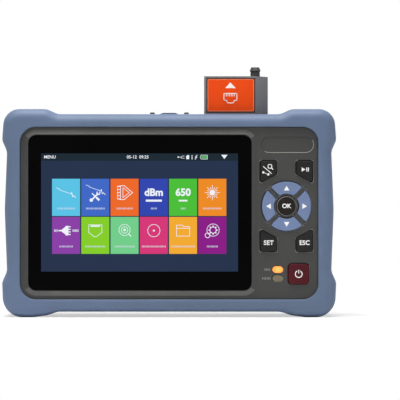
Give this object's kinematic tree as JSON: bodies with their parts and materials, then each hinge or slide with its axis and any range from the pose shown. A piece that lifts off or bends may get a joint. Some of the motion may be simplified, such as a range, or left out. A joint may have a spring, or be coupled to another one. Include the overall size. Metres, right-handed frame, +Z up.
{
  "type": "optical time domain reflectometer",
  "caption": "Handheld optical tester in a rubber bumper: colour screen, keypad, covered fibre ports, network jack, fold-out stand and a plug-on remote unit.",
  "frame": {"origin": "middle of the footprint, on the surface that the tester stands on", "axes": "+X to the right of the screen, +Y from the screen to the back, +Z up"},
  "size_m": [0.1838, 0.05, 0.1385],
  "materials": {
    "bumper_rubber": "soft matt moulded rubber",
    "shell_plastic": "fine spark texture",
    "black_rubber": "matt",
    "screen_glass": "polished black-backed glass",
    "display": "polished",
    "steel_sheet": "bright sheet",
    "circuit_board": "solder mask",
    "switch_plastic": "moulded",
    "lamp_lens": "clear amber",
    "screw_steel": "zinc plated",
    "battery_sleeve": "shrink sleeve",
    "contact_metal": "plated",
    "port_plastic": "moulded",
    "port_metal": "turned, nickel plated",
    "jack_plastic": "moulded",
    "socket_steel": "plated sheet",
    "cover_plastic": "moulded",
    "module_metal": "milled",
    "speaker_metal": "black",
    "remote_plastic": "moulded",
    "label_plate": "printed plate",
    "plug_clear": "clear moulded",
    "arrow_plastic": "moulded",
    "key_plastic": "moulded",
    "power_plastic": "moulded"
  },
  "bodies": {
    "housing": {"bumper": "bumper_rubber", "front_shell": "shell_plastic", "rear_shell": "shell_plastic", "case_seal": "black_rubber", "screen_glass": "screen_glass", "screen_gasket": "black_rubber", "display_panel": "display", "display_frame": "steel_sheet", "keypad_board": "circuit_board", "key_switches": "switch_plastic", "charge_light": "lamp_lens", "status_light": "lamp_lens", "main_board": "circuit_board", "board_screws": "screw_steel", "keypad_screws": "screw_steel", "battery_pack": "battery_sleeve", "battery_contacts": "contact_metal", "battery_door": "shell_plastic", "door_screws": "screw_steel", "stand_pins": "screw_steel", "port_panel": "port_plastic", "cover_pins": "screw_steel", "flap_pin": "screw_steel", "otdr_port": "port_metal", "meter_port": "port_metal", "laser_port": "port_metal", "lan_jack": "jack_plastic", "dock_jack": "jack_plastic", "usb_socket": "socket_steel", "port_board": "circuit_board", "optical_module": "module_metal", "speaker": "speaker_metal", "housing_screws": "screw_steel"},
    "key_up": {"key_up": "arrow_plastic"},
    "key_down": {"key_down": "arrow_plastic"},
    "key_left": {"key_left": "arrow_plastic"},
    "key_right": {"key_right": "arrow_plastic"},
    "key_ok": {"key_ok": "key_plastic"},
    "key_zoom": {"key_zoom": "key_plastic"},
    "key_run": {"key_run": "key_plastic"},
    "key_set": {"key_set": "key_plastic"},
    "key_esc": {"key_esc": "key_plastic"},
    "key_power": {"key_power": "power_plastic"},
    "otdr_cover": {"otdr_cover": "cover_plastic"},
    "meter_cover": {"meter_cover": "cover_plastic"},
    "port_flap": {"port_flap": "cover_plastic"},
    "laser_cap": {"laser_cap": "black_rubber"},
    "stand": {"stand": "shell_plastic", "stand_foot": "black_rubber"},
    "remote": {"remote_case": "remote_plastic", "remote_cover": "remote_plastic", "remote_label": "label_plate", "remote_screws": "screw_steel", "remote_plug": "plug_clear", "remote_board": "circuit_board", "remote_post": "port_plastic"}
  },
  "joints": [
    {"name": "key_up_press", "type": "slide", "parent": "housing", "child": "key_up", "axis": [0, 1, 0], "range_m": [0, 0.0008], "stiffness_N_per_m": 1200},
    {"name": "key_down_press", "type": "slide", "parent": "housing", "child": "key_down", "axis": [0, 1, 0], "range_m": [0, 0.0008], "stiffness_N_per_m": 1200},
    {"name": "key_left_press", "type": "slide", "parent": "housing", "child": "key_left", "axis": [0, 1, 0], "range_m": [0, 0.0008], "stiffness_N_per_m": 1200},
    {"name": "key_right_press", "type": "slide", "parent": "housing", "child": "key_right", "axis": [0, 1, 0], "range_m": [0, 0.0008], "stiffness_N_per_m": 1200},
    {"name": "key_ok_press", "type": "slide", "parent": "housing", "child": "key_ok", "axis": [0, 1, 0], "range_m": [0, 0.0008], "stiffness_N_per_m": 1200},
    {"name": "key_zoom_press", "type": "slide", "parent": "housing", "child": "key_zoom", "axis": [0, 1, 0], "range_m": [0, 0.0008], "stiffness_N_per_m": 1200},
    {"name": "key_run_press", "type": "slide", "parent": "housing", "child": "key_run", "axis": [0, 1, 0], "range_m": [0, 0.0008], "stiffness_N_per_m": 1200},
    {"name": "key_set_press", "type": "slide", "parent": "housing", "child": "key_set", "axis": [0, 1, 0], "range_m": [0, 0.0008], "stiffness_N_per_m": 1200},
    {"name": "key_esc_press", "type": "slide", "parent": "housing", "child": "key_esc", "axis": [0, 1, 0], "range_m": [0, 0.0008], "stiffness_N_per_m": 1200},
    {"name": "key_power_press", "type": "slide", "parent": "housing", "child": "key_power", "axis": [0, 1, 0], "range_m": [0, 0.0008], "stiffness_N_per_m": 1200},
    {"name": "otdr_cover_hinge", "type": "hinge", "parent": "housing", "child": "otdr_cover", "pos_m": [0.00945, 0.0109, 0.1093], "axis": [-1, 0, 0], "range_deg": [0, 110]},
    {"name": "meter_cover_hinge", "type": "hinge", "parent": "housing", "child": "meter_cover", "pos_m": [-0.00945, 0.0109, 0.1093], "axis": [-1, 0, 0], "range_deg": [0, 110]},
    {"name": "port_flap_hinge", "type": "hinge", "parent": "housing", "child": "port_flap", "pos_m": [-0.0452, 0.0109, 0.1093], "axis": [-1, 0, 0], "range_deg": [0, 110]},
    {"name": "stand_hinge", "type": "hinge", "parent": "housing", "child": "stand", "pos_m": [0, 0.0212, 0.0883], "axis": [1, 0, 0], "range_deg": [0, 55]},
    {"name": "laser_cap_pull", "type": "slide", "parent": "housing", "child": "laser_cap", "axis": [0, 0, 1], "range_m": [0, 0.06]},
    {"name": "remote_pull", "type": "slide", "parent": "housing", "child": "remote", "axis": [0, 0, 1], "range_m": [0, 0.03]}
  ]
}
